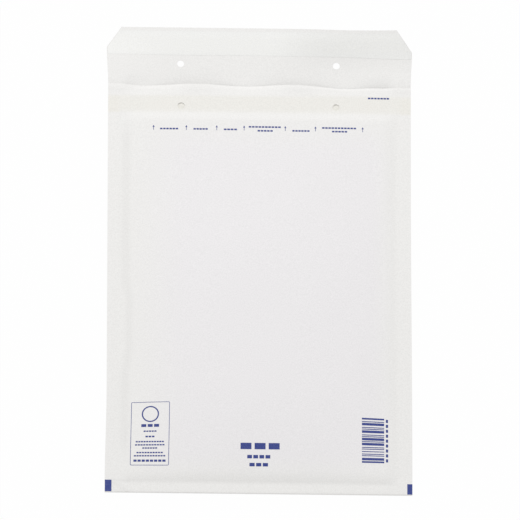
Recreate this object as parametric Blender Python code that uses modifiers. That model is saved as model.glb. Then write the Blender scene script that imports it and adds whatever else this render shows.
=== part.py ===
"""A white padded mailing envelope, lying on its back with its flap open.

X runs across the envelope, Y from its bottom fold to its flap, and Z up from the surface it lies on.
Every piece is first laid out flat, by x across the envelope and t from its bottom end, and is then
given its height, so the layers keep their order and their clearance wherever the envelope swells.
"""

import math

import bmesh
import bpy
from mathutils import Matrix, Vector

# The paper web, folded once at the bottom
BODY_WIDTH = 0.240
BODY_LENGTH = 0.350
FLAP_LENGTH = 0.050
PAPER = 0.0003
FRONT_SETBACK = 0.0015
CORNER_CUT_ACROSS = 0.0115
CORNER_CUT_ALONG = 0.0185

# The pressed seams and the slopes that rise from them
SIDE_SEAM = 0.010
BOTTOM_SEAM = 0.011
SIDE_SLOPE = 0.008
BOTTOM_SLOPE = 0.012
SEAM_LIFT = 0.003
SIDE_DRAW_IN = 0.0012
DRAW_IN_RUN = 0.200

# The pocket: its gap is small at the creases and opens towards the middle
EDGE_GAP = 0.0008
MOUTH_GAP = 0.0052
MIDDLE_GAP = 0.0060
OPEN_ACROSS = 0.066
OPEN_ALONG = 0.050
MOUTH_RUN = 0.150
LIP_DROP = 0.0003
LIP_WAVE = 0.0007
LIP_WAVES = 3.0
LIP_PHASE = 0.011

# The bubble film lining
FILM = 0.0003
BUBBLE_HEIGHT = 0.0022
BUBBLE_PITCH = 0.018
BUBBLE_EDGE = 0.0025
LINING_SETBACK = 0.0095
LINING_INSET = 0.0010
CAVITY_INSET = 0.0040

# The glue bands that hold the film's two ends to the paper
BOND = 0.0003
BOND_LENGTH = 0.0145
BOND_SLOPE = 0.008
BOND_SIDE_GAP = 0.0010

# The flap: how it settles, its adhesive and the strip that covers it
FLAP_SETTLE = 0.030
FLAP_CURL = 0.0008
CORNER_CURL = 0.0030
CORNER_CURL_POWER = 8
ADHESIVE = 0.0003
ADHESIVE_LENGTH = 0.013
ADHESIVE_SETBACK = 0.0075
ADHESIVE_SIDE_GAP = 0.0030
LINER = 0.0003
LINER_LENGTH = 0.0215
LINER_SETBACK = 0.0030
LINER_SIDE_GAP = 0.0006

# The round holes for a clasp, through the flap and through the front
HOLE_DIAMETER = 0.0055
HOLE_SPACING = 0.122
HOLE_TO_FOLD = 0.019
HOLE_SIDES = 20

# The gap between layers that touch
CLEARANCE = 0.0003

# How finely the layout is divided
COLUMN_WIDTH = 0.0165
ROW_LENGTH = 0.018
ROUGH_ROW_LENGTH = 0.027
SLOPE_PARTS = 4

# Worked out from the sizes above
SEAM_STACK = 2 * (PAPER + CLEARANCE + FILM)
PAD_STACK = SEAM_STACK + 2 * BUBBLE_HEIGHT
BOND_STEP = BUBBLE_HEIGHT - BOND - CLEARANCE
FOLD_RADIUS = (SEAM_STACK - PAPER) / 2
FOLD_QUARTER = FOLD_RADIUS * math.pi / 2
HALF_WIDTH = BODY_WIDTH / 2
TOTAL_LENGTH = BODY_LENGTH + FLAP_LENGTH
LINING_START = SEAM_STACK / 2
LINING_END = BODY_LENGTH - LINING_SETBACK
BOND_START = LINING_END - BOND_LENGTH
FIELD_END = BOND_START - BOND_SLOPE
SIDE_CREASE = SIDE_SEAM + SIDE_SLOPE
BOTTOM_CREASE = BOTTOM_SEAM + BOTTOM_SLOPE


def smooth(start, end, value):
    """Runs from 0 at start to 1 at end, level at both."""
    share = min(max((value - start) / (end - start), 0.0), 1.0)
    return share * share * (3.0 - 2.0 * share)


def settle(start, length, value):
    """Runs from 0 at start to 1 a length later, steepest at its start."""
    share = min(max((value - start) / length, 0.0), 1.0)
    return 1.0 - (1.0 - share) ** 2


def firm_share(x, t):
    """Is 0 on the pressed seams and 1 inside their creases."""
    side = smooth(SIDE_SEAM, SIDE_CREASE, HALF_WIDTH - abs(x))
    return side * settle(BOTTOM_SEAM, BOTTOM_SLOPE, t)


def pocket_gap(x, t):
    """Is how far the two padded walls stand apart."""
    across = settle(SIDE_CREASE, OPEN_ACROSS, HALF_WIDTH - abs(x))
    along = settle(BOTTOM_SEAM, OPEN_ALONG, t)
    widest = MIDDLE_GAP + (MOUTH_GAP - MIDDLE_GAP) * smooth(FIELD_END - MOUTH_RUN, FIELD_END, t)
    return EDGE_GAP + (widest - EDGE_GAP) * across * along


def stack_height(x, t):
    """Is the distance from the back of the envelope to its front, over both paper walls."""
    turn = 2 * math.pi * LIP_WAVES * (x + LIP_PHASE) / BODY_WIDTH
    full = PAD_STACK + pocket_gap(x, t)
    full -= BOND_STEP * smooth(FIELD_END, BOND_START, t)
    full -= (LIP_DROP + LIP_WAVE * math.cos(turn)) * smooth(LINING_END, BODY_LENGTH, t)
    return SEAM_STACK + (full - SEAM_STACK) * firm_share(x, t)


def back_height(x, t):
    """Is the height of the outer face of the back panel, and of the flap that it runs out into."""
    seam = SEAM_LIFT * (1 - firm_share(x, t))
    out = max(t - BODY_LENGTH, 0.0)
    corner = CORNER_CURL * max(x / HALF_WIDTH, 0.0) ** CORNER_CURL_POWER
    return seam * (1 - smooth(0.0, FLAP_SETTLE, out)) + (FLAP_CURL + corner) * (out / FLAP_LENGTH) ** 2


def front_height(x, t):
    """Is the height of the outer face of the front panel."""
    return back_height(x, t) + stack_height(x, t)


def film_depth(x, t, level):
    """Is how far the film lies inside the paper: level 1 is a bubble's top, 0 the sheet between."""
    sheet = BUBBLE_HEIGHT - BOND_STEP * smooth(FIELD_END, BOND_START, t)
    return CLEARANCE + firm_share(x, t) * sheet * (1 - level)


def draw_in(t):
    """Is how far each side edge moves in where the envelope swells."""
    on_flap = smooth(BODY_LENGTH, BODY_LENGTH + FLAP_SETTLE, t)
    return SIDE_DRAW_IN * smooth(BOTTOM_SEAM, BOTTOM_SEAM + DRAW_IN_RUN, t) * (1 - on_flap)


def place(x, t, z):
    """Takes a point of the flat layout, with its height, to its place on the envelope."""
    return Vector((x * (1 - draw_in(t) / HALF_WIDTH), t - TOTAL_LENGTH / 2, z))


def fold(x, s):
    """Takes a point of the flat paper web to its place; s is 0 on the bottom fold, and the back is +s."""
    reach = abs(s)
    if reach < FOLD_QUARTER:
        angle = s / FOLD_RADIUS
        t = SEAM_STACK / 2 - FOLD_RADIUS * math.cos(angle)
        return place(x, t, SEAM_LIFT + SEAM_STACK / 2 - FOLD_RADIUS * math.sin(angle))
    t = reach - FOLD_QUARTER + SEAM_STACK / 2
    if s > 0:
        return place(x, t, back_height(x, t) + PAPER / 2)
    return place(x, t, front_height(x, t) - PAPER / 2)


def along_web(t):
    """Is how far a place beyond the bottom fold lies along the flat paper."""
    return t - SEAM_STACK / 2 + FOLD_QUARTER


def stations(marks, parts):
    """Divides each stretch between two marks into its number of equal parts."""
    found = [marks[0]]
    for start, end, count in zip(marks, marks[1:], parts):
        found += [start + (end - start) * step / count for step in range(1, count + 1)]
    return found


def parts_of(length, longest):
    """Is the number of equal parts that keeps each one under the longest."""
    return max(1, math.ceil(length / longest - 1e-6))


def columns_across(edge):
    """Is the line positions across the envelope between two side edges, close where it slopes."""
    crease = HALF_WIDTH - SIDE_CREASE
    level = crease - OPEN_ACROSS
    marks = [edge, HALF_WIDTH - SIDE_SEAM, crease, level, 0.0]
    parts = [1, SLOPE_PARTS, parts_of(OPEN_ACROSS, COLUMN_WIDTH), parts_of(level, COLUMN_WIDTH)]
    half = stations(marks, parts)
    return [-value for value in half] + half[-2::-1]


def rows_along(start, end, longest):
    """Is the line positions from near the bottom end to an end in or past the glue band."""
    level = BOTTOM_SEAM + OPEN_ALONG
    fade = FIELD_END - MOUTH_RUN
    marks = [start, BOTTOM_SEAM, BOTTOM_CREASE, level, fade, FIELD_END, BOND_START, end]
    parts = [1, SLOPE_PARTS, parts_of(level - BOTTOM_CREASE, longest), parts_of(fade - level, 2 * longest),
             parts_of(MOUTH_RUN, longest), SLOPE_PARTS, 1]
    return stations(marks, parts)


def flat_grid(columns, rows):
    """Makes a flat grid whose lines lie at the given positions across and along."""
    sheet = bmesh.new()
    across = len(columns) - 1
    along = len(rows) - 1
    bmesh.ops.create_grid(sheet, x_segments=across, y_segments=along, size=0.5)
    for vertex in sheet.verts:
        column = round((vertex.co.x + 0.5) * across)
        row = round((vertex.co.y + 0.5) * along)
        vertex.co = (columns[column], rows[row], 0.0)
    return sheet


def thicken(sheet, lower, upper):
    """Closes a flat sheet into a solid between two heights, each a function of x, t and level."""
    grown = bmesh.ops.extrude_face_region(sheet, geom=sheet.faces[:])
    top = {item for item in grown["geom"] if isinstance(item, bmesh.types.BMVert)}
    for vertex in sheet.verts:
        height = upper if vertex in top else lower
        vertex.co = place(vertex.co.x, vertex.co.y, height(*vertex.co))
    bmesh.ops.recalc_face_normals(sheet, faces=sheet.faces[:])


def cut_corners(sheet, inset):
    """Cuts the flap's two corners off a sheet that lies in place, along lines moved in by an inset."""
    for side in (-1, 1):
        edge = Vector((side * HALF_WIDTH, TOTAL_LENGTH / 2 - CORNER_CUT_ALONG, 0.0))
        outward = Vector((side * CORNER_CUT_ALONG, CORNER_CUT_ACROSS, 0.0)).normalized()
        whole = sheet.verts[:] + sheet.edges[:] + sheet.faces[:]
        bmesh.ops.bisect_plane(sheet, geom=whole, plane_co=edge - outward * inset, plane_no=outward,
                               clear_outer=True)


def finish(name, sheet, material):
    """Puts a finished bmesh in the envelope's collection as a named object."""
    mesh = bpy.data.meshes.new(name)
    sheet.to_mesh(mesh)
    sheet.free()
    mesh.materials.append(material)
    piece = bpy.data.objects.new(name, mesh)
    bpy.data.collections["padded_envelope"].objects.link(piece)
    return piece


def cutter(name, sheet):
    """Puts a cutting body in the cutters' collection, out of the renders."""
    mesh = bpy.data.meshes.new(name)
    sheet.to_mesh(mesh)
    sheet.free()
    body = bpy.data.objects.new(name, mesh)
    body.hide_render = True
    body.display_type = "WIRE"
    bpy.data.collections["cutters"].objects.link(body)
    return body


def cut(piece, body):
    """Takes a cutting body out of a piece."""
    modifier = piece.modifiers.new(body.name, "BOOLEAN")
    modifier.operation = "DIFFERENCE"
    modifier.object = body


def make_material(name, colour, roughness, transmission=0.0):
    """Makes a plain material from a linear colour."""
    material = bpy.data.materials.new(name)
    material.use_nodes = True
    shader = material.node_tree.nodes["Principled BSDF"]
    shader.inputs["Base Color"].default_value = (*colour, 1.0)
    shader.inputs["Roughness"].default_value = roughness
    shader.inputs["Transmission Weight"].default_value = transmission
    material.diffuse_color = (*colour, 1.0)
    return material


def hole_punch(name, x, t, bottom, top):
    """Makes one round punch, upright between two heights."""
    punch = bmesh.new()
    bmesh.ops.create_cone(punch, cap_ends=True, segments=HOLE_SIDES, radius1=HOLE_DIAMETER / 2,
                          radius2=HOLE_DIAMETER / 2, depth=top - bottom)
    body = cutter(name, punch)
    body.location = place(x, t, (bottom + top) / 2)
    return body


def make_punches():
    """Makes the punches of the clasp holes: two for the front, and two for the flap."""
    front = []
    flap = []
    for side, x in (("left", -HOLE_SPACING / 2), ("right", HOLE_SPACING / 2)):
        at_front = BODY_LENGTH - HOLE_TO_FOLD
        at_flap = BODY_LENGTH + HOLE_TO_FOLD
        over = front_height(x, at_front)
        front.append(hole_punch("front_punch_" + side, x, at_front, over / 2, over + PAD_STACK))
        flap.append(hole_punch("flap_punch_" + side, x, at_flap, -PAD_STACK, PAD_STACK))
    return front, flap


def make_paper(material, punches):
    """Makes the paper: one web, folded at the bottom, with its flap's corners cut and four holes."""
    front = rows_along(SEAM_STACK / 2, LINING_END, ROW_LENGTH)
    front += stations([LINING_END, BODY_LENGTH - FRONT_SETBACK], [2])[1:]
    back = rows_along(SEAM_STACK / 2, BODY_LENGTH, ROW_LENGTH)
    back += stations([BODY_LENGTH, BODY_LENGTH + FLAP_SETTLE, TOTAL_LENGTH], [3, 3])[1:]
    arc = stations([-FOLD_QUARTER, FOLD_QUARTER], [SLOPE_PARTS])[1:-1]
    web = [-along_web(t) for t in reversed(front)] + arc + [along_web(t) for t in back]
    sheet = flat_grid(columns_across(HALF_WIDTH), web)
    for vertex in sheet.verts:
        vertex.co = fold(vertex.co.x, vertex.co.y)
    cut_corners(sheet, 0.0)
    paper = finish("paper_envelope", sheet, material)
    wall = paper.modifiers.new("wall", "SOLIDIFY")
    wall.thickness = PAPER
    wall.offset = 0.0
    wall.use_even_offset = True
    for punch in punches:
        cut(paper, punch)


def bubble_field(sheet):
    """Fills the padded area with touching six-sided bubbles, their tops at level 1."""
    width = 2 * (HALF_WIDTH - SIDE_CREASE)
    length = FIELD_END - BOTTOM_CREASE
    corner = BUBBLE_PITCH / math.sqrt(3)
    row_pitch = 1.5 * corner
    in_row = int((width - CLEARANCE) / BUBBLE_PITCH)
    rows = int((length - CLEARANCE - 2 * corner) / row_pitch) + 1
    first = BOTTOM_CREASE + (length - (rows - 1) * row_pitch) / 2
    for row in range(rows):
        count = in_row - row % 2
        for number in range(count):
            x = (number - (count - 1) / 2) * BUBBLE_PITCH
            centre = Matrix.Translation((x, first + row * row_pitch, 0.0))
            bmesh.ops.create_circle(sheet, cap_ends=True, radius=corner, segments=6, matrix=centre)
    bmesh.ops.remove_doubles(sheet, verts=sheet.verts[:], dist=CLEARANCE)
    bmesh.ops.recalc_face_normals(sheet, faces=sheet.faces[:])
    feet = sheet.faces[:]
    bmesh.ops.inset_individual(sheet, faces=feet, thickness=BUBBLE_EDGE, depth=0.0)
    for face in feet:
        for vertex in face.verts:
            vertex.co.z = 1.0


def inside_window(point):
    """Tells whether a point of the lining's layout lies on the bubble field's edge or inside it."""
    across = HALF_WIDTH - abs(point.x) > SIDE_CREASE - CLEARANCE
    return across and BOTTOM_CREASE - CLEARANCE < point.y < FIELD_END + CLEARANCE


def lining_sheet():
    """Lays out one face of the lining flat: flat margins around a field of bubbles."""
    rows = rows_along(LINING_START, LINING_END, ROUGH_ROW_LENGTH)
    sheet = flat_grid(columns_across(HALF_WIDTH - LINING_INSET), rows)
    window = [face for face in sheet.faces if inside_window(face.calc_center_median())]
    bmesh.ops.delete(sheet, geom=window, context="FACES")
    frame = [edge for edge in sheet.edges if edge.is_boundary]
    inner = [edge for edge in frame if all(inside_window(vertex.co) for vertex in edge.verts)]
    field = bmesh.new()
    bubble_field(field)
    spare = bpy.data.meshes.new("bubble_field")
    field.to_mesh(spare)
    field.free()
    before = set(sheet.edges)
    sheet.from_mesh(spare)
    bpy.data.meshes.remove(spare)
    outline = [edge for edge in sheet.edges if edge not in before and edge.is_boundary]
    bmesh.ops.triangle_fill(sheet, edges=inner + outline, use_beauty=True)
    return sheet


def make_pocket():
    """Makes the space inside the lining, which runs out past its mouth."""
    rows = rows_along(BOTTOM_SEAM + CAVITY_INSET, BODY_LENGTH, ROUGH_ROW_LENGTH)
    inside = [t for t in rows if t >= BOTTOM_SEAM + CAVITY_INSET]
    edge = HALF_WIDTH - SIDE_SEAM - CAVITY_INSET
    columns = [x for x in columns_across(HALF_WIDTH) if abs(x) < edge]
    pocket = flat_grid([-edge, *columns, edge], inside)
    thicken(pocket, lambda x, t, level: back_height(x, t) + PAPER + film_depth(x, t, 0.0) + FILM,
            lambda x, t, level: front_height(x, t) - PAPER - film_depth(x, t, 0.0) - FILM)
    return cutter("pocket", pocket)


def make_lining(material, punches):
    """Makes the bubble film bag, with its bubbles towards the paper and its smooth side to the pocket."""
    sheet = lining_sheet()
    thicken(sheet, lambda x, t, level: back_height(x, t) + PAPER + film_depth(x, t, level),
            lambda x, t, level: front_height(x, t) - PAPER - film_depth(x, t, level))
    lining = finish("bubble_lining", sheet, material)
    cut(lining, make_pocket())
    for punch in punches:
        cut(lining, punch)


def make_bonds(material, punches):
    """Makes the two glue bands between the film's ends and the paper."""
    edge = HALF_WIDTH - SIDE_CREASE
    columns = [x for x in columns_across(HALF_WIDTH) if abs(x) < edge + CLEARANCE]
    rows = [BOND_START + BOND_SIDE_GAP, LINING_END - BOND_SIDE_GAP]
    inner = PAPER + CLEARANCE
    front = flat_grid(columns, rows)
    thicken(front, lambda x, t, level: front_height(x, t) - inner - BOND,
            lambda x, t, level: front_height(x, t) - inner)
    band = finish("film_bond_front", front, material)
    for punch in punches:
        cut(band, punch)
    back = flat_grid(columns, rows)
    thicken(back, lambda x, t, level: back_height(x, t) + inner,
            lambda x, t, level: back_height(x, t) + inner + BOND)
    finish("film_bond_back", back, material)


def flap_strip(setback, length, side_gap, bottom, thickness):
    """Makes one strip across the flap, a setback in from its free edge and a height above its paper."""
    end = TOTAL_LENGTH - setback
    strip = flat_grid(columns_across(HALF_WIDTH - side_gap), stations([end - length, end], [3]))
    lower = PAPER + CLEARANCE + bottom
    thicken(strip, lambda x, t, level: back_height(x, t) + lower,
            lambda x, t, level: back_height(x, t) + lower + thickness)
    cut_corners(strip, side_gap)
    bmesh.ops.holes_fill(strip, edges=[edge for edge in strip.edges if edge.is_boundary])
    bmesh.ops.recalc_face_normals(strip, faces=strip.faces[:])
    return strip


def make_closure(adhesive_material, liner_material):
    """Makes the adhesive stripe on the flap and the release strip that covers it."""
    stripe = flap_strip(ADHESIVE_SETBACK, ADHESIVE_LENGTH, ADHESIVE_SIDE_GAP, 0.0, ADHESIVE)
    finish("flap_adhesive", stripe, adhesive_material)
    liner = flap_strip(LINER_SETBACK, LINER_LENGTH, LINER_SIDE_GAP, ADHESIVE + CLEARANCE, LINER)
    finish("release_liner", liner, liner_material)


def main():
    """Makes the whole envelope in an empty scene."""
    for old in list(bpy.data.objects):
        bpy.data.objects.remove(old)
    for name in ("padded_envelope", "cutters"):
        bpy.context.scene.collection.children.link(bpy.data.collections.new(name))
    front_punches, flap_punches = make_punches()
    make_paper(make_material("white_kraft_paper", (0.83, 0.83, 0.82), 0.75), front_punches + flap_punches)
    make_lining(make_material("clear_bubble_film", (0.80, 0.82, 0.84), 0.25, 0.6), front_punches)
    make_bonds(make_material("beige_hot_melt", (0.62, 0.54, 0.36), 0.5), front_punches)
    make_closure(make_material("clear_adhesive", (0.66, 0.58, 0.38), 0.35),
                 make_material("silicone_paper", (0.80, 0.80, 0.78), 0.45))


if __name__ == "__main__":
    main()
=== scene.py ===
"""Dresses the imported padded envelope: paper, bubble film, glue, release strip and blue print.

X runs across the envelope, Y from its bottom fold to its flap, and Z up from what it lies on. As in
the part's source, every piece is laid out flat by x and t, where t runs from the bottom end, and
is then given its height, so the layers keep their order.
"""

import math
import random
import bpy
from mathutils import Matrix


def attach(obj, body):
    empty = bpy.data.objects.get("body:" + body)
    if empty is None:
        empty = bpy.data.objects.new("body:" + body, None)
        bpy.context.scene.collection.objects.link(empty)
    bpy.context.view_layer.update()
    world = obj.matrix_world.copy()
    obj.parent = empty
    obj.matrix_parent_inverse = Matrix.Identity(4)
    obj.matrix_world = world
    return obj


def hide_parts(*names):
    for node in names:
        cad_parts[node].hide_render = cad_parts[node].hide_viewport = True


bl_info = {
    "name": "Padded Envelope",
    "version": (1, 0, 0),
    "blender": (4, 5, 0),
    "location": "View3D > Sidebar > Envelope",
    "description": "Builds the finished look of a bubble-lined mailing envelope around its packed solids",
    "category": "Add Mesh",
}

import bmesh
import bpy
from bpy.props import FloatProperty, FloatVectorProperty, IntProperty, PointerProperty
from mathutils import Matrix, Vector

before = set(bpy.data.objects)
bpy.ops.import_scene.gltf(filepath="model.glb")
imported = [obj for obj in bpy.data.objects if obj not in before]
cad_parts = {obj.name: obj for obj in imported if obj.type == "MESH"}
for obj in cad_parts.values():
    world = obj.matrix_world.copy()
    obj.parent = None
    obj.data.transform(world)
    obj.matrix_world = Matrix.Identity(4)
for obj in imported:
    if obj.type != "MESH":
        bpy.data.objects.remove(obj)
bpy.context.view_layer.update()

# Sizes are in metres, and are the solids' own, with walls, seams and gaps nearer to the real ones

# The web of paper, its pressed seams and the slopes that rise from them
BODY_WIDTH = 0.240
BODY_LENGTH = 0.350
FLAP_LENGTH = 0.050
PAPER = 0.0003
SIDE_SEAM = 0.010
BOTTOM_SEAM = 0.0092
SIDE_SLOPE = 0.012
BOTTOM_SLOPE = 0.012
SEAM_LIFT = 0.003

# How far the swollen body draws each side in, and over what length from the bottom
LEFT_DRAW_IN = 0.0012
LEFT_DRAW_IN_RUN = 0.080
RIGHT_DRAW_IN = 0.0010
RIGHT_DRAW_IN_RUN = 0.260

# The pocket's gap at its creases, mouth and middle, and how fast it opens
EDGE_GAP = 0.0004
MOUTH_GAP = 0.0014
MIDDLE_GAP = 0.0055
OPEN_ACROSS = 0.085
OPEN_ALONG = 0.085
MOUTH_RUN = 0.150

# The bubble film, and the glue bands that hold its two ends to the paper
FILM = 0.0002
BUBBLE_HEIGHT = 0.0022
LINING_SETBACK = 0.0095
LINING_INSET = 0.0010
# A bubble's wall leans in by this share of its radius at the top, along a curve of this power
BUBBLE_LEAN = 0.26
BUBBLE_BEND = 2.5
BOND = 0.0003
# The glue fills this share of a band's thickness
BOND_FILL = 0.8
BOND_LENGTH = 0.0145
BOND_SLOPE = 0.008
BOND_SIDE_GAP = 0.0010

# Each of the flap's cut corners by its side, its size across and its size along
CORNER_CUTS = ((-1, 0.0115, 0.0175), (1, 0.0140, 0.0212))

# The flap's adhesive, and the release strip that covers it
ADHESIVE = 0.00008
ADHESIVE_LENGTH = 0.013
ADHESIVE_SETBACK = 0.0075
ADHESIVE_SIDE_GAP = 0.0030
LINER = 0.00006
LINER_LENGTH = 0.0215
LINER_SETBACK = 0.0030
LINER_SIDE_GAP = 0.0006
# The strip's lower edge is trimmed back by this, less a fall that grows from here to the right side
LINER_TRIM = 0.0010
LINER_TRIM_FALL = 0.0020
LINER_TRIM_FROM = 0.060
# The strip's lower edge lifts by this share at the left, and fully past a stretch across
LIFT_LEAST = 0.1
LIFT_ACROSS = (0.020, 0.060)
# How far along the strip its lift reaches, and how softly it lies down beside the adhesive
LIFT_RUN = 0.006
LINER_DRAPE = 0.0025

# The round holes for a clasp
HOLE_DIAMETER = 0.0055
HOLE_SPACING = 0.1228
HOLE_SHIFT = -0.0007
FLAP_HOLE_TO_FOLD = 0.019
FRONT_HOLE_TO_FOLD = 0.0195
HOLE_SIDES = 24
# Cells nearer to a hole's middle than this share of its diameter make way for its rim
HOLE_CLEARING = 0.9

# The gaps between layers that touch, and between the paper and the floor
CLEARANCE = 0.0003
STRIP_CLEARANCE = 0.00002
FLOOR_GAP = 0.0001

# The longest sides of the film's cells and the glue bands', and of the row of cells at the mouth's edge
FILM_CELL = 0.004
BOND_CELL = 0.003
LIP_CELL = 0.0012

# How wide the seams' slopes are on the flap, and how far past the fold they have become so
FLAP_SLOPE = 0.060
FLAP_SLOPE_REACH = 0.012
# The lengths past the fold over which the seams' lift and the sides' draw in fade out
SEAM_LIFT_RUN = 0.048
FLAP_DRAW_IN_RUN = 0.030
# The right half rises by this share over this stretch, and by the rest towards its free edge
FLAP_BEND = (0.012, 0.045)
FLAP_BEND_SHARE = 0.68
# How far right of the middle that rise and the skew are full
FLAP_TILT_RUN = 0.060
FLAP_SKEW_RUN = 0.070
# How steeply the skew grows towards the free edge, and the corner's curl towards the right side
FLAP_SKEW_POWER = 1.5
CORNER_CURL_POWER = 8

# The stretches across over which the mouth's wave fades and its front grows shorter
LIP_WAVE_FADE = (0.070, 0.105)
LIP_SKEW_STRETCH = (0.010, 0.080)

# The groove beside the left seam and its kink inward, with the stretches over which each starts and ends
GROOVE_X = -0.1053
GROOVE_KINK = 0.0030
KINK_RISE = (0.090, 0.125)
KINK_FALL = (0.160, 0.180)
GROOVE_RISE = (0.020, 0.045)
GROOVE_FALL = (0.300, 0.318)
# The two fainter grooves beside the right seam, each by its place, half width and share of the depth
RIGHT_GROOVES = ((0.1065, 0.0022, 1.0), (0.1012, 0.0020, 0.6))
RIGHT_GROOVE_RISE = (0.060, 0.120)
RIGHT_GROOVE_FALL = (0.290, 0.320)
# The painted shade along the outer of them, as a share of the left groove's, and its half width
RIGHT_SHADE = 0.15
RIGHT_SHADE_WIDTH = 0.002
# The two creases at the lower left corner, drawn only as painted shade, each by its ends, its half width
# and its share of the shade's depth
CORNER_CREASE_SHADES = (
    ((-0.1135, -0.1915), (-0.1015, -0.2005), 0.0028, 1.0),
    ((-0.1150, -0.1895), (-0.1010, -0.1905), 0.0022, 0.9),
)
# The front's soft waves in radians per metre, 13 cm long across and 20 cm along, each with its shift
WAVE_ACROSS = (47.0, 1.3)
WAVE_ALONG = (31.0, 0.4)
# A smaller wave runs aslant, 6 cm long
WAVE_ASLANT = (83.0, -52.0)
WAVE_ASLANT_SHARE = 0.6

# Worked out from the sizes above
SEAM_STACK = 6 * PAPER
PAD_STACK = SEAM_STACK + 2 * BUBBLE_HEIGHT
BOND_STEP = BUBBLE_HEIGHT - BOND - CLEARANCE
HALF_WIDTH = BODY_WIDTH / 2
TOTAL_LENGTH = BODY_LENGTH + FLAP_LENGTH
LINING_END = BODY_LENGTH - LINING_SETBACK
BOND_START = LINING_END - BOND_LENGTH
FIELD_END = BOND_START - BOND_SLOPE
SIDE_CREASE = SIDE_SEAM + SIDE_SLOPE
BOTTOM_CREASE = BOTTOM_SEAM + BOTTOM_SLOPE
HOLES_X = [HOLE_SHIFT + side * HOLE_SPACING / 2 for side in (-1, 1)]
FRONT_HOLES = [(x, BODY_LENGTH - FRONT_HOLE_TO_FOLD) for x in HOLES_X]
FLAP_HOLES = [(x, BODY_LENGTH + FLAP_HOLE_TO_FOLD) for x in HOLES_X]
FRONT_MIDDLE_HEIGHT = SEAM_LIFT + SEAM_STACK / 2

# Where glue shows through the front paper, how strongly, and how soft its edges are
GLUE_MIDDLE = (BOND_START + 0.0006, LINING_END - 0.0012)
GLUE_MIDDLE_SHOWS = 0.75
GLUE_MIDDLE_SOFT = 0.0014
GLUE_ENDS = (BOND_START, LINING_END - 0.0018)
GLUE_ENDS_ACROSS = (0.1105, 0.1200)
GLUE_ENDS_SHOW = 0.9
GLUE_ENDS_SOFT = 0.001
GLUE_ENDS_SOFT_ACROSS = 0.0012
# How strongly the adhesive shows through the release strip, and how soft its edges are
ADHESIVE_SHOWS = 0.1
ADHESIVE_SOFT = 0.0015
# Where the paper looks padded, across and along
PADDED_RISE_ACROSS = (-0.108, -0.050)
PADDED_FALL_ACROSS = (0.085, 0.108)
PADDED_RISE = (0.010, 0.035)
PADDED_FALL = (0.285, BOND_START)
# The painted highlight at the mouth's cut edge, and the stretch over which the paper becomes single and
# takes painted shade
LIP_HIGHLIGHT_RISE = (BODY_LENGTH - 0.0044, BODY_LENGTH - 0.0026)
LIP_HIGHLIGHT_FALL = (BODY_LENGTH, BODY_LENGTH + 0.001)
SINGLE_LAYER_SHADE_RISE = (LINING_END, LINING_END + 0.004)
# Tones matched to the photograph: in the papers' clouds, the painted shade of a crease and of a single
# layer, and the painted highlight of the cut edge
PAPER_CLOUDS = (0.950, 1.042)
LINER_CLOUDS = (0.953, 1.040)
CREASE_SHADE_TONE = 0.960
SINGLE_LAYER_SHADE_TONE = 0.978
LIP_HIGHLIGHT_TONE = 1.05
# Where the ink lies thin, this share of it is the paper's grey
INK_THINNED = 0.08
GREY_THROUGH = 0.45
# The film's haze is this dull, and thin glue this much paler than thick
FILM_DULL = 0.9
GLUE_PALE = 1.25

# The print along the opening: its arrows in one row, and each row of dashes by its middle and its width
ARROWS_T = 0.3110
ARROWS_X = (-0.0839, -0.0579, -0.0338, -0.0121, 0.0205, 0.0444, 0.0818)
# An arrow's shaft is this share of its head's width, and its head starts this share of its height up
SHAFT_WIDTH = 0.22
HEAD_START = 0.1
DASH_ROWS = (
    (-0.0716, 0.3100, 0.0149), (-0.0466, 0.3099, 0.0118), (-0.0230, 0.3097, 0.0110),
    (0.0042, 0.3121, 0.0259), (0.0046, 0.3088, 0.0125), (0.0329, 0.3091, 0.0141),
    (0.0631, 0.3119, 0.0274), (0.0635, 0.3089, 0.0125), (0.0944, 0.3388, 0.0172),
)
# Dashes stand this many of their heights apart, and each takes up this share of that
DASH_PITCH = 1.9
DASH_SHARE = 0.78
# The framed label, whose rows of dashes are each given by place above its middle, width and height
LABEL_MIDDLE = (-0.0853, 0.0488)
LABEL_LINES = (
    (0.0068, 0.0150, 0.0024), (0.0020, 0.0105, 0.0011), (-0.0025, 0.0076, 0.0013),
    (-0.0068, 0.0225, 0.0011), (-0.0095, 0.0235, 0.0011), (-0.0122, 0.0120, 0.0011),
    (-0.0160, 0.0210, 0.0011), (-0.0187, 0.0250, 0.0011), (-0.0228, 0.0258, 0.0018),
)
LABEL_ROUNDING = 0.001
LABEL_RING_UP = 0.0165
LABEL_RING_OUTER = 0.0068
LABEL_RING_INNER = 0.0058
# The middle's rows of dashes and the corners' marks, each by its middle, its width and its height
MIDDLE_LINES = (
    (0.0010, 0.0383, 0.0330, 0.0052),
    (0.0000, 0.0296, 0.0190, 0.0028),
    (0.0000, 0.0231, 0.0156, 0.0028),
)
CORNER_MARKS = ((-0.1173, 0.0055, 0.0052, 0.0098), (0.1180, 0.0050, 0.0040, 0.0088))
# The bars and the gaps between them are drawn from these multiples of the thinnest
BARS_MIDDLE = (0.0893, 0.0451)
BAR_STEPS = (1, 1, 2, 3)
GAP_STEPS = (1, 2, 2)
# The small blocks beside the bars: how many, how far apart, how far out, and their width and height
BLOCK_COUNT = 9
BLOCK_PITCH = 0.0042
BLOCK_OUT = 0.0022
BLOCK_SIZE = (0.0017, 0.0026)

# Typical sizes of the finishes' patterns, in millimetres, as the photograph shows none that can be measured
# Paper fibres are 0.03 mm wide, too fine for the render, so they are drawn as coarse as it shows
FIBRE_MM = 0.7
# The cloudy spots of the pulp are 1 to 3 mm across, and both papers have them at the fine end of that
CLOUD_MM = 0.9
# Specks in flexographic print are 0.1 mm across, too fine as well, and are drawn as coarse as it shows
SPECK_MM = 1.1
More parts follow.
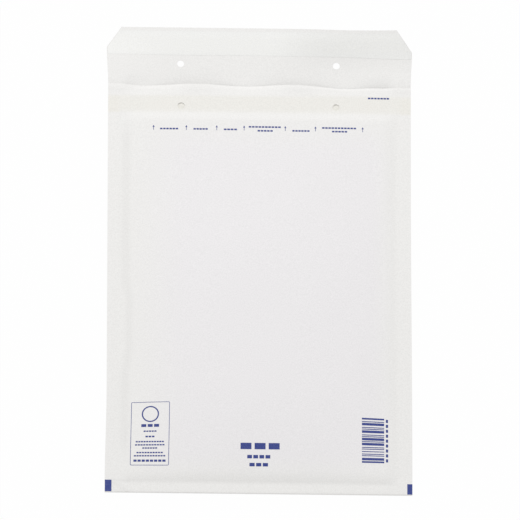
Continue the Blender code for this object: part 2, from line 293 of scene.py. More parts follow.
# The film is blown with hazy patches a finger wide, and hangs slack between its bubbles
HAZE_MM = 16.0
SLACK_MM = 4.5
# The glue is rolled on in streaks about 3 mm wide
STREAK_MM = 3.3

# The stage: half the floor's side, the lamp over the flap, and the whites of the background and floor
FLOOR_REACH = 8.0
KEY_PLACE = (-0.30, 1.50, 2.0)
KEY_SIZE = 1.1
BACKGROUND_WHITE = 0.99
FLOOR_WHITE = 0.995
# How much of the floor is plain white for the light, and how much more of it for the camera
FLOOR_GLOW = 0.60
FLOOR_GLOW_SEEN = 0.385


def metres(name, description, default, **limits):
    """Declares a length that a user can change."""
    return FloatProperty(name=name, description=description, default=default, unit="LENGTH", **limits)


def linear(code):
    """Turns an sRGB colour, written as six hex digits, into a linear one."""
    shares = [int(code[start:start + 2], 16) / 255 for start in (0, 2, 4)]
    return [share / 12.92 if share <= 0.04045 else ((share + 0.055) / 1.055) ** 2.4 for share in shares]


def colour(name, description, code):
    """Declares a colour that a user can change, its default written as six hex digits."""
    return FloatVectorProperty(
        name=name, description=description, subtype="COLOR", default=linear(code), min=0.0, max=1.0)


class EnvelopeShape(bpy.types.PropertyGroup):
    """How the paper bends and creases, beyond what the solids show."""

    cell: metres("Mesh cell", "Longest side of a cell of the paper's mesh", 0.0025, min=0.001)
    lip_drop: metres("Lip drop", "How far the mouth's front edge sinks", 0.0024)
    lip_wave: metres("Lip wave", "Height of the waves along the mouth's front edge", 0.0023)
    lip_wavelength: metres(
        "Lip wavelength", "Distance between two crests along the mouth",
        0.080, min=0.02)
    lip_phase: metres("Lip phase", "How far left of the middle the deepest dip lies", 0.011)
    lip_setback: metres("Lip setback", "How far the front ends short of the flap's fold", 0.0004)
    lip_skew: metres(
        "Lip skew", "How much shorter the front is at its right side than at its left",
        0.0012)
    crease_depth: metres("Crease depth", "Depth of the groove beside the left seam", 0.0007)
    crease_width: metres(
        "Crease width", "Half width of the groove beside the left seam",
        0.0026, min=0.001)
    right_crease_depth: metres(
        "Right crease depth", "Depth of the fainter groove beside the right seam",
        0.00012)
    ripple: metres("Ripple", "Height of the soft unevenness all over the front", 0.00012)
    flap_curl: metres("Flap curl", "How far the flap's free edge rises", 0.0008)
    corner_curl: metres("Corner curl", "How far the flap's right corner rises above that", 0.0030)
    flap_tilt: metres(
        "Flap tilt", "How far the right half of the flap rises towards its free edge",
        0.0050)
    flap_skew: metres(
        "Flap skew", "How much shorter the flap is at its right side than at its left",
        0.0030)
    liner_lift: metres(
        "Strip lift", "How far the release strip's lower edge stands off at its right",
        0.00005)


class BubbleShape(bpy.types.PropertyGroup):
    """The bubbles of the lining, at a common size for such film, as the photograph shows none."""

    pitch: metres("Bubble pitch", "Distance between the middles of two bubbles", 0.0115, min=0.006)
    diameter: metres("Bubble diameter", "Width of one bubble at its foot", 0.0100, min=0.004)
    sides: IntProperty(
        name="Bubble sides", description="Number of sides of one bubble",
        default=12, min=8, max=24)


class PrintLayout(bpy.types.PropertyGroup):
    """Where the blue marks stand, and how large they are. None of them can be read."""

    ink: metres("Ink thickness", "How far the ink stands above the paper", 0.00006)
    arrow_height: metres("Arrow height", "Height of the small arrows along the opening line", 0.0042)
    arrow_width: metres("Arrow width", "Width of the small arrows along the opening line", 0.0017)
    dash_height: metres("Dash height", "Height of the dashes between the arrows", 0.0013)
    label_width: metres("Label width", "Width of the framed label at the lower left", 0.0303)
    label_length: metres("Label length", "Length of the framed label at the lower left", 0.0535)
    label_line: metres("Label line", "Width of the label's framing line", 0.0004)
    bar_width: metres("Bar width", "Length of the stacked bars at the lower right", 0.0174)
    bar_run: metres("Bar run", "Length that the stacked bars take up along the envelope", 0.0378)
    bar_count: IntProperty(
        name="Bars", description="Number of stacked bars", default=18, min=4, max=60)
    seed: IntProperty(
        name="Bar seed", description="Seed of the bars' widths, which stand for nothing",
        default=7, min=0)


class EnvelopeColours(bpy.types.PropertyGroup):
    """The colours of the finishes, as they look in plain light."""

    paper: colour("Paper", "White kraft paper", "EDECEA")
    padded_paper: colour("Paper over bubbles", "The same paper where the film lies behind it", "ECEAEB")
    glue_shade: colour("Paper over glue", "Paper where the glue shows through", "EBE9E3")
    ink: colour("Ink", "Blue printing ink", "263985")
    film: colour("Bubble film", "Clear polyethylene bubble film", "E8EAE9")
    glue: colour("Glue", "Beige hot melt glue", "DCDAD3")
    liner: colour("Release strip", "White silicone paper", "EAEAE8")
    floor: colour("Floor", "Pale floor", "F5F5F5")


class StageSettings(bpy.types.PropertyGroup):
    """The camera and the lights."""

    azimuth: FloatProperty(
        name="Azimuth", description="Camera's turn round the envelope", subtype="ANGLE",
        default=math.radians(-3.0))
    elevation: FloatProperty(
        name="Elevation", description="Camera's height above the horizon", subtype="ANGLE",
        default=math.radians(66.1))
    roll: FloatProperty(
        name="Roll", description="Camera's turn about its own line of sight", subtype="ANGLE",
        default=math.radians(3.4))
    distance: metres("Distance", "Camera's distance from the envelope", 18.0, min=1.0)
    view_width: metres("View width", "Width of what the camera frames at the envelope", 0.4073, min=0.1)
    shift_right: metres("Aim right", "How far right of the envelope's middle the camera aims", 0.0008)
    shift_up: metres("Aim up", "How far above the envelope's middle the camera aims", 0.0012)
    sky: FloatProperty(
        name="Soft light", description="Strength of the even light from all round",
        default=0.743, min=0.0)
    key: FloatProperty(
        name="Key light", description="Power of the large lamp above the flap's left side",
        default=20.0, min=0.0, unit="POWER")


def smooth(start, end, value):
    """Runs from 0 at start to 1 at end, level at both."""
    share = min(max((value - start) / (end - start), 0.0), 1.0)
    return share * share * (3.0 - 2.0 * share)


def settle(start, length, value, power=2):
    """Runs from 0 at start to 1 a length later, steepest at its start."""
    share = min(max((value - start) / length, 0.0), 1.0)
    return 1.0 - (1.0 - share) ** power


def plateau(rise, fall, value):
    """Runs from 0 up to 1 over its rise and back to 0 over its fall, each a start and an end."""
    return smooth(*rise, value) * (1 - smooth(*fall, value))


def band(start, end, soft, value):
    """Is 1 between a start and an end, with soft edges outside them."""
    return plateau((start - soft, start), (end, end + soft), value)


def bump(middle, half_width, value):
    """Is 1 at the middle and fades to nothing either side, as a bell does."""
    return math.exp(-((value - middle) / half_width) ** 2)


def firm_share(x, t):
    """Is 0 on the pressed seams and 1 inside their creases, which fade out on the flap."""
    inset = HALF_WIDTH - abs(x)
    side = smooth(SIDE_SEAM, SIDE_CREASE, inset)
    on_flap = smooth(LINING_END, BODY_LENGTH + FLAP_SLOPE_REACH, t)
    side += (smooth(0.0, FLAP_SLOPE, inset) - side) * on_flap
    return side * settle(BOTTOM_SEAM, BOTTOM_SLOPE, t, power=3)


def open_share(x, t):
    """Is 0 at the creases and 1 where the pocket stands widest open."""
    return settle(SIDE_CREASE, OPEN_ACROSS, HALF_WIDTH - abs(x)) * settle(BOTTOM_SEAM, OPEN_ALONG, t)


def left_crease(t):
    """Is where the left groove runs, which kinks inward two fifths of the way up."""
    return GROOVE_X + GROOVE_KINK * plateau(KINK_RISE, KINK_FALL, t)


def groove_share(x, t):
    """Is how deep the left groove lies at a place, of its full depth."""
    half_width = bpy.context.scene.envelope_shape.crease_width
    return plateau(GROOVE_RISE, GROOVE_FALL, t) * bump(left_crease(t), half_width, x)


def relief(x, t):
    """Is how far the front's grooves and soft unevenness take it from its plain shape."""
    shape = bpy.context.scene.envelope_shape
    height = -shape.crease_depth * groove_share(x, t)
    right = sum(share * bump(middle, half_width, x) for middle, half_width, share in RIGHT_GROOVES)
    height -= shape.right_crease_depth * right * plateau(RIGHT_GROOVE_RISE, RIGHT_GROOVE_FALL, t)
    uneven = math.sin(x * WAVE_ACROSS[0] + WAVE_ACROSS[1]) * math.sin(t * WAVE_ALONG[0] + WAVE_ALONG[1])
    uneven += WAVE_ASLANT_SHARE * math.sin(x * WAVE_ASLANT[0] + t * WAVE_ASLANT[1])
    return height + shape.ripple * uneven * firm_share(x, t) * (1 - smooth(FIELD_END, LINING_END, t))


def stack_height(x, t):
    """Is the distance from the back of the envelope to its front, over both paper walls."""
    shape = bpy.context.scene.envelope_shape
    widest = MIDDLE_GAP + (MOUTH_GAP - MIDDLE_GAP) * smooth(FIELD_END - MOUTH_RUN, FIELD_END, t)
    turn = 2 * math.pi * (x + shape.lip_phase) / shape.lip_wavelength
    full = PAD_STACK + EDGE_GAP + (widest - EDGE_GAP) * open_share(x, t)
    full -= BOND_STEP * smooth(FIELD_END, BOND_START, t)
    wave = shape.lip_wave * math.cos(turn) * (1 - smooth(*LIP_WAVE_FADE, x))
    full -= (shape.lip_drop + wave) * smooth(LINING_END, BODY_LENGTH, t)
    return SEAM_STACK + (full - SEAM_STACK) * firm_share(x, t)


def back_height(x, t):
    """Is the height of the outer face of the back panel, and of the flap that it runs out into."""
    shape = bpy.context.scene.envelope_shape
    seam = SEAM_LIFT * (1 - firm_share(x, t))
    out = max(t - BODY_LENGTH, 0.0)
    corner = shape.corner_curl * max(x / HALF_WIDTH, 0.0) ** CORNER_CURL_POWER
    curl = (shape.flap_curl + corner) * (out / FLAP_LENGTH) ** 2
    rise = FLAP_BEND_SHARE * smooth(*FLAP_BEND, out) + (1 - FLAP_BEND_SHARE) * (out / FLAP_LENGTH) ** 4
    curl += shape.flap_tilt * smooth(0.0, FLAP_TILT_RUN, x) * rise
    return seam * (1 - smooth(0.0, SEAM_LIFT_RUN, out)) + curl


def front_height(x, t):
    """Is the height of the outer face of the front panel."""
    return back_height(x, t) + stack_height(x, t) + relief(x, t)


def film_depth(x, t):
    """Is how far the film's flat sheet lies inside the paper."""
    sheet = BUBBLE_HEIGHT - BOND_STEP * smooth(FIELD_END, BOND_START, t)
    return CLEARANCE + firm_share(x, t) * sheet


def place(x, t, z):
    """Takes a point of the flat layout, with its height, to its place on the envelope."""
    shape = bpy.context.scene.envelope_shape
    on_flap = smooth(BODY_LENGTH, BODY_LENGTH + FLAP_DRAW_IN_RUN, t)
    most, run = (LEFT_DRAW_IN, LEFT_DRAW_IN_RUN) if x < 0 else (RIGHT_DRAW_IN, RIGHT_DRAW_IN_RUN)
    draw_in = most * smooth(BOTTOM_SEAM, BOTTOM_SEAM + run, t) * (1 - on_flap)
    skew = shape.flap_skew * (max(t - BODY_LENGTH, 0.0) / FLAP_LENGTH) ** FLAP_SKEW_POWER
    t -= skew * smooth(0.0, FLAP_SKEW_RUN, x)
    return Vector((x * (1 - draw_in / HALF_WIDTH), t - TOTAL_LENGTH / 2, z))


def fold_lead(radius):
    """Is how much longer a quarter of a web's fold is than the stretch of the envelope it takes up."""
    return radius * math.pi / 2 - SEAM_STACK / 2


def web_lines(front, back, radius, parts):
    """Is the lines along a folded web: its front's, those of each half of its fold, and its back's."""
    lead = fold_lead(radius)
    arc = [radius * math.pi / 2 * step / parts for step in range(1 - parts, parts)]
    return [-(t + lead) for t in reversed(front)] + arc + [t + lead for t in back]


def fold(x, s, depth, radius):
    """Takes a point of a folded web to its place, its middle a depth inside the envelope's outer faces.

    The web's s is 0 on the bottom fold and +s on the back. A depth is a function of x and t.
    """
    quarter = radius * math.pi / 2
    reach = abs(s)
    if reach < quarter:
        angle = s / radius
        t = SEAM_STACK / 2 - radius * math.cos(angle)
        return place(x, t, SEAM_LIFT + SEAM_STACK / 2 - radius * math.sin(angle))
    t = reach - quarter + SEAM_STACK / 2
    if s > 0:
        return place(x, t, back_height(x, t) + depth(x, t))
    return place(x, t, front_height(x, t) - depth(x, t))


def stations(marks, longest):
    """Divides each stretch between two marks into equal parts no longer than the longest."""
    found = [marks[0]]
    for start, end in zip(marks, marks[1:]):
        count = max(1, math.ceil((end - start) / longest - 1e-6))
        found += [start + (end - start) * step / count for step in range(1, count + 1)]
    return found


def slope_lines(start, length):
    """Is the positions of ten equal parts of a slope, its two ends with them."""
    return [start + length * step / 10 for step in range(11)]


# The lines along the body that every web has, from its bottom end to the film's end
BODY_MARKS = [SEAM_STACK / 2] + slope_lines(BOTTOM_SEAM, BOTTOM_SLOPE) + [FIELD_END, BOND_START, LINING_END]


def columns_across(edge, longest):
    """Is the line positions across the envelope, with close lines over the slopes inside its seams."""
    half = [mark for mark in [0.0] + slope_lines(HALF_WIDTH - SIDE_CREASE, SIDE_SLOPE) if mark < edge]
    half = stations(half + [edge], longest)
    return [-value for value in reversed(half[1:])] + half


def flat_grid(columns, rows):
    """Makes a flat grid whose lines lie at the given positions across and along."""
    sheet = bmesh.new()
    across = len(columns) - 1
    along = len(rows) - 1
    bmesh.ops.create_grid(sheet, x_segments=across, y_segments=along, size=0.5)
    for vertex in sheet.verts:
        column = round((vertex.co.x + 0.5) * across)
        row = round((vertex.co.y + 0.5) * along)
        vertex.co = (columns[column], rows[row], 0.0)
    return sheet


def punch_hole(sheet, x, y):
    """Opens one round hole in a flat grid, with clean faces round it."""
    middle = Vector((x, y, 0.0))
    cleared = HOLE_DIAMETER * HOLE_CLEARING
    near = [face for face in sheet.faces if (face.calc_center_median() - middle).length < cleared]
    rim = {edge for face in near for edge in face.edges
           if any(other not in near for other in edge.link_faces)}
    bmesh.ops.delete(sheet, geom=near, context="FACES")
    ring = bmesh.ops.create_circle(sheet, segments=HOLE_SIDES, radius=HOLE_DIAMETER / 2,
                                   matrix=Matrix.Translation(middle))
    circle = {edge for vertex in ring["verts"] for edge in vertex.link_edges}
    bmesh.ops.triangle_fill(sheet, edges=list(rim | circle), use_beauty=True)


def cut_corners(sheet, inset):
    """Cuts the flap's two corners off a sheet that lies in place, along lines moved in by an inset."""
    for side, across, along in CORNER_CUTS:
        edge = Vector((side * HALF_WIDTH, TOTAL_LENGTH / 2 - along, 0.0))
        outward = Vector((side * along, across, 0.0)).normalized()
        whole = sheet.verts[:] + sheet.edges[:] + sheet.faces[:]
        bmesh.ops.bisect_plane(sheet, geom=whole, plane_co=edge - outward * inset, plane_no=outward,
                               clear_outer=True)


def add_object(name, sheet):
    """Makes a named object of a bmesh."""
    mesh = bpy.data.meshes.new(name)
    sheet.to_mesh(mesh)
    sheet.free()
    piece = bpy.data.objects.new(name, mesh)
    bpy.context.scene.collection.objects.link(piece)
    return piece


def make_plain(piece):
    """Turns what a piece's modifiers make of it into its own plain mesh."""
    bpy.context.view_layer.update()
    shown = piece.evaluated_get(bpy.context.evaluated_depsgraph_get())
    mesh = bpy.data.meshes.new_from_object(shown)
    piece.modifiers.clear()
    old = piece.data
    piece.data = mesh
    bpy.data.meshes.remove(old)
    mesh.name = piece.name


def add_wall(piece, thickness):
    """Gives a middle surface its thickness, half to each side."""
    wall = piece.modifiers.new("wall", "SOLIDIFY")
    wall.thickness = thickness
    wall.offset = 0.0


def finish_piece(piece, material, sharp=40.0):
    """Gives a finished mesh its shading and finish, and sets it on the envelope."""
    mesh = piece.data
    mesh.shade_smooth()
    mesh.set_sharp_from_angle(angle=math.radians(sharp))
    mesh.materials.clear()
    mesh.materials.append(material)
    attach(piece, "root")


def set_shares(piece, name, share):
    """Stores a share for every vertex of a piece, worked out from its place."""
    attribute = piece.data.attributes.new(name, "FLOAT", "POINT")
    attribute.data.foreach_set("value", [share(vertex.co) for vertex in piece.data.vertices])


def add_node(tree, kind, inputs=None, **settings):
    """Adds a node with its settings, and sets or links its inputs by name or number."""
    node = tree.nodes.new(kind)
    for name, value in settings.items():
        setattr(node, name, value)
    for key, value in (inputs or {}).items():
        if isinstance(value, bpy.types.NodeSocket):
            tree.links.new(value, node.inputs[key])
        else:
            node.inputs[key].default_value = value
    return node


def new_material(name, **sockets):
    """Makes a material whose shader has these constant sockets, and returns it with its tree and shader."""
    material = bpy.data.materials.new(name)
    material.use_nodes = True
    tree = material.node_tree
    shader = tree.nodes["Principled BSDF"]
    for key, value in sockets.items():
        shader.inputs[key.replace("_", " ")].default_value = value
    return material, tree, shader


def crease_shade_line(tree, point, start, end, half_width, floor_z):
    """Is 1 on a straight crease of the front and 0 beyond its half width, as a socket, for the paper's
    painted crease shade.
    """
    flat = add_node(tree, "ShaderNodeVectorMath", {0: point, 1: (1.0, 1.0, 0.0)},
                    operation="MULTIPLY").outputs[0]
    first = Vector((*start, 0.0))
    along = Vector((*end, 0.0)) - first
    offset = add_node(tree, "ShaderNodeVectorMath", {0: flat, 1: first}, operation="SUBTRACT").outputs[0]
    run = add_node(tree, "ShaderNodeVectorMath", {0: offset, 1: along / along.length_squared},
                   operation="DOT_PRODUCT").outputs["Value"]
    share = add_node(tree, "ShaderNodeClamp", {"Value": run}).outputs[0]
    nearest = add_node(tree, "ShaderNodeVectorMath", {0: along, "Scale": share},
                       operation="SCALE").outputs[0]
    away = add_node(tree, "ShaderNodeVectorMath", {0: offset, 1: nearest},
                    operation="DISTANCE").outputs["Value"]
    line = add_node(tree, "ShaderNodeMapRange", {
        "Value": away, "From Min": 0.0, "From Max": half_width, "To Min": 1.0, "To Max": 0.0},
        interpolation_type="SMOOTHSTEP").outputs[0]
    height = add_node(tree, "ShaderNodeSeparateXYZ", {0: point}).outputs["Z"]
    front = add_node(tree, "ShaderNodeMath", {0: height, 1: floor_z}, operation="GREATER_THAN").outputs[0]
    return add_node(tree, "ShaderNodeMath", {0: line, 1: front}, operation="MULTIPLY").outputs[0]


def pulp_clouds(tree, point, tones):
    """Is the tone of pulp's cloudy spots, between the darkest and the brightest, as a socket."""
    cloud = add_node(tree, "ShaderNodeTexNoise", {"Vector": point, "Scale": 1000 / CLOUD_MM, "Detail": 3.0})
    return add_node(tree, "ShaderNodeMapRange", {
        "Value": cloud.outputs["Fac"], "From Min": 0.3, "From Max": 0.7,
        "To Min": tones[0], "To Max": tones[1]}).outputs[0]


def paper_material():
    """White kraft paper, bleached and machine glazed: matt, faintly cloudy, with fine fibres, painted shade
    in its creases and single layer, and a painted highlight on the mouth's cut edge.
    """
    colours = bpy.context.scene.envelope_colours
    material, tree, shader = new_material("white_kraft_paper", Roughness=0.62, IOR=1.47)
    point = add_node(tree, "ShaderNodeTexCoord").outputs["Object"]
    glue, padded, crease, single, lip = (
        add_node(tree, "ShaderNodeAttribute", attribute_name=name).outputs["Fac"]
        for name in ("glue", "padded", "crease", "single", "lip"))
    white = add_node(tree, "ShaderNodeMix", {
        0: padded, 6: (*colours.paper, 1.0), 7: (*colours.padded_paper, 1.0)}, data_type="RGBA").outputs[2]
    base = add_node(tree, "ShaderNodeMix", {
        0: glue, 6: white, 7: (*colours.glue_shade, 1.0)}, data_type="RGBA").outputs[2]
    # Painted shade along the corner's creases joins the grooves' painted shade
    for start, end, half_width, depth in CORNER_CREASE_SHADES:
        line = crease_shade_line(tree, point, start, end, half_width, FRONT_MIDDLE_HEIGHT)
        crease = add_node(tree, "ShaderNodeMath", {0: line, 1: depth, 2: crease},
                          operation="MULTIPLY_ADD").outputs[0]
    tone = pulp_clouds(tree, point, PAPER_CLOUDS)
    # Painted shade in the creases and on the single layer, and a painted highlight on the mouth's cut edge,
    # scale the tone
    for share, full in ((crease, CREASE_SHADE_TONE), (lip, LIP_HIGHLIGHT_TONE), (single, SINGLE_LAYER_SHADE_TONE)):
        change = add_node(tree, "ShaderNodeMapRange", {"Value": share, "To Min": 1.0, "To Max": full})
        tone = add_node(tree, "ShaderNodeMath", {0: tone, 1: change.outputs[0]},
                        operation="MULTIPLY").outputs[0]
    toned = add_node(tree, "ShaderNodeVectorMath", {0: base, "Scale": tone}, operation="SCALE")
    tree.links.new(toned.outputs[0], shader.inputs["Base Color"])
    stretched = add_node(tree, "ShaderNodeMapping", {"Vector": point, "Scale": (1.0, 0.45, 1.0)})
    fibres = add_node(tree, "ShaderNodeTexNoise", {
        "Vector": stretched.outputs[0], "Scale": 1000 / FIBRE_MM, "Detail": 4.0, "Roughness": 0.6})
    grain = add_node(tree, "ShaderNodeBump", {
        "Height": fibres.outputs["Fac"], "Strength": 0.10, "Distance": 0.0002})
    tree.links.new(grain.outputs[0], shader.inputs["Normal"])
    return material


def ink_material():
    """Blue flexographic ink: matt, and thin enough that the paper's cloudiness shows in it."""
    colours = bpy.context.scene.envelope_colours
    material, tree, shader = new_material("blue_flexo_ink", Roughness=0.55, IOR=1.47)
    point = add_node(tree, "ShaderNodeTexCoord").outputs["Object"]
    speckle = add_node(tree, "ShaderNodeTexNoise", {
        "Vector": point, "Scale": 1000 / SPECK_MM, "Detail": 2.0})
    solid = (*colours.ink, 1.0)
    thin = [(1 - INK_THINNED) * value + INK_THINNED * GREY_THROUGH for value in colours.ink] + [1.0]
    laid = add_node(tree, "ShaderNodeMapRange", {
        "Value": speckle.outputs["Fac"], "From Min": 0.45, "From Max": 0.75})
    base = add_node(tree, "ShaderNodeMix", {0: laid.outputs[0], 6: solid, 7: thin}, data_type="RGBA")
    tree.links.new(base.outputs[2], shader.inputs["Base Color"])
    return material


def film_material():
    """Blown polyethylene film: clear and glossy, milky where it is double."""
    colours = bpy.context.scene.envelope_colours
    material, tree, shader = new_material(
        "clear_bubble_film", Roughness=0.22, IOR=1.51, Transmission_Weight=0.25)
    point = add_node(tree, "ShaderNodeTexCoord").outputs["Object"]
    haze = add_node(tree, "ShaderNodeTexNoise", {"Vector": point, "Scale": 1000 / HAZE_MM, "Detail": 2.0})
    clear = (*colours.film, 1.0)
    dull = [value * FILM_DULL for value in colours.film] + [1.0]
    base = add_node(tree, "ShaderNodeMix", {0: haze.outputs["Fac"], 6: dull, 7: clear}, data_type="RGBA")
    tree.links.new(base.outputs[2], shader.inputs["Base Color"])
    slack = add_node(tree, "ShaderNodeTexNoise", {"Vector": point, "Scale": 1000 / SLACK_MM, "Detail": 2.0})
    bumps = add_node(tree, "ShaderNodeBump", {
        "Height": slack.outputs["Fac"], "Strength": 0.25, "Distance": 0.0004})
    tree.links.new(bumps.outputs[0], shader.inputs["Normal"])
    return material


def glue_material(name, roughness):
    """Hot melt glue: rolled on warm, so it is smooth with a slightly uneven thickness."""
    colours = bpy.context.scene.envelope_colours
    material, tree, shader = new_material(name, Roughness=roughness, IOR=1.48)
    point = add_node(tree, "ShaderNodeTexCoord").outputs["Object"]
    uneven = add_node(tree, "ShaderNodeTexNoise", {
        "Vector": point, "Scale": 1000 / STREAK_MM, "Detail": 2.0})
    thick = (*colours.glue, 1.0)
    thin = [min(value * GLUE_PALE, 1.0) for value in colours.glue] + [1.0]
    base = add_node(tree, "ShaderNodeMix", {0: uneven.outputs["Fac"], 6: thick, 7: thin}, data_type="RGBA")
    tree.links.new(base.outputs[2], shader.inputs["Base Color"])
    bumps = add_node(tree, "ShaderNodeBump", {
        "Height": uneven.outputs["Fac"], "Strength": 0.3, "Distance": 0.0002})
    tree.links.new(bumps.outputs[0], shader.inputs["Normal"])
    return material


def liner_material():
    """Silicone coated release paper: smooth and satin, and the adhesive under it shows warm through it."""
    colours = bpy.context.scene.envelope_colours
    material, tree, shader = new_material("silicone_paper", Roughness=0.42, IOR=1.43)
    point = add_node(tree, "ShaderNodeTexCoord").outputs["Object"]
    glue = add_node(tree, "ShaderNodeAttribute", attribute_name="glue").outputs["Fac"]
    base = add_node(tree, "ShaderNodeMix", {
        0: glue, 6: (*colours.liner, 1.0), 7: (*colours.glue_shade, 1.0)}, data_type="RGBA").outputs[2]
    toned = add_node(tree, "ShaderNodeVectorMath", {
        0: base, "Scale": pulp_clouds(tree, point, LINER_CLOUDS)}, operation="SCALE")
    tree.links.new(toned.outputs[0], shader.inputs["Base Color"])
    return material


def on_front(point, t):
    """Tells whether a point of the paper lies on the front panel."""
    return point.z >= FRONT_MIDDLE_HEIGHT and t <= BODY_LENGTH


def glue_on_paper(point):
    """Is how strongly glue shows through the front paper at a point."""
    t = point.y + TOTAL_LENGTH / 2
    if not on_front(point, t):
        return 0.0
    middle = GLUE_MIDDLE_SHOWS * band(*GLUE_MIDDLE, GLUE_MIDDLE_SOFT, t)
    ends = band(*GLUE_ENDS_ACROSS, GLUE_ENDS_SOFT_ACROSS, abs(point.x))
    ends *= band(*GLUE_ENDS, GLUE_ENDS_SOFT, t)
    return min(1.0, middle + GLUE_ENDS_SHOW * ends)


def padding_on_paper(point):
    """Is how far a point of the front lies over the bubbles, more faintly at the left and the mouth."""
    t = point.y + TOTAL_LENGTH / 2
    if not on_front(point, t):
        return 0.0
    return plateau(PADDED_RISE_ACROSS, PADDED_FALL_ACROSS, point.x) * plateau(PADDED_RISE, PADDED_FALL, t)


def lip_highlight_on_paper(point):
    """Is 1 on the front's cut edge at the mouth, which gets a painted highlight a little brighter than the
    sheet.
    """
    t = point.y + TOTAL_LENGTH / 2
    if point.z < back_height(point.x, t) + SEAM_STACK / 2:
        return 0.0
    return plateau(LIP_HIGHLIGHT_RISE, LIP_HIGHLIGHT_FALL, t)


def single_layer_shade_on_paper(point):
    """Is 1 beyond the film's end and on the flap, where no film lies behind the paper and painted shade
    makes it darker.
    """
    return smooth(*SINGLE_LAYER_SHADE_RISE, point.y + TOTAL_LENGTH / 2)


def crease_shade_on_paper(point):
    """Is how much painted shade the pressed creases put on the front paper at a point."""
    t = point.y + TOTAL_LENGTH / 2
    if not on_front(point, t):
        return 0.0
    right = bump(RIGHT_GROOVES[0][0], RIGHT_SHADE_WIDTH, point.x)
    return min(1.0, groove_share(point.x, t) + RIGHT_SHADE * right)


# The shares stored on the paper: glue and padding tint its own colour, crease and single carry painted
# shade, lip a painted highlight
PAPER_SHARES = {
    "glue": glue_on_paper,
    "crease": crease_shade_on_paper,
    "padded": padding_on_paper,
    "lip": lip_highlight_on_paper,
    "single": single_layer_shade_on_paper,
}


class ENVELOPE_OT_make_paper(bpy.types.Operator):
    """Makes the paper: one web folded at the bottom, with four holes and the flap's cut corners"""

    bl_idname = "envelope.make_paper"
    bl_label = "Paper"

    def execute(self, context):
        shape = context.scene.envelope_shape
        radius = (SEAM_STACK - PAPER) / 2
        lead = fold_lead(radius)
        lip = BODY_LENGTH - shape.lip_setback
        front = stations(BODY_MARKS + [lip - LIP_CELL, lip], shape.cell)
        back = stations(BODY_MARKS + [BODY_LENGTH, TOTAL_LENGTH], shape.cell)
        sheet = flat_grid(columns_across(HALF_WIDTH, shape.cell), web_lines(front, back, radius, 4))
        for x, t in FRONT_HOLES:
            punch_hole(sheet, x, -(t + lead))
        for x, t in FLAP_HOLES:
            punch_hole(sheet, x, t + lead)
        front_edge = -(front[-1] + lead)
        for vertex in sheet.verts:
            x, s = vertex.co.x, vertex.co.y
            near_lip = smooth(-(BOND_START + lead), front_edge, s)
            s += shape.lip_skew * near_lip * smooth(*LIP_SKEW_STRETCH, x)
            vertex.co = fold(x, s, lambda x, t: PAPER / 2, radius)
        cut_corners(sheet, 0.0)
        bmesh.ops.recalc_face_normals(sheet, faces=sheet.faces[:])
        piece = add_object("paper_web", sheet)
        add_wall(piece, PAPER)
        make_plain(piece)
        for name, share in PAPER_SHARES.items():
            set_shares(piece, name, share)
        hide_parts("paper_envelope")
        finish_piece(piece, paper_material())
        return {"FINISHED"}


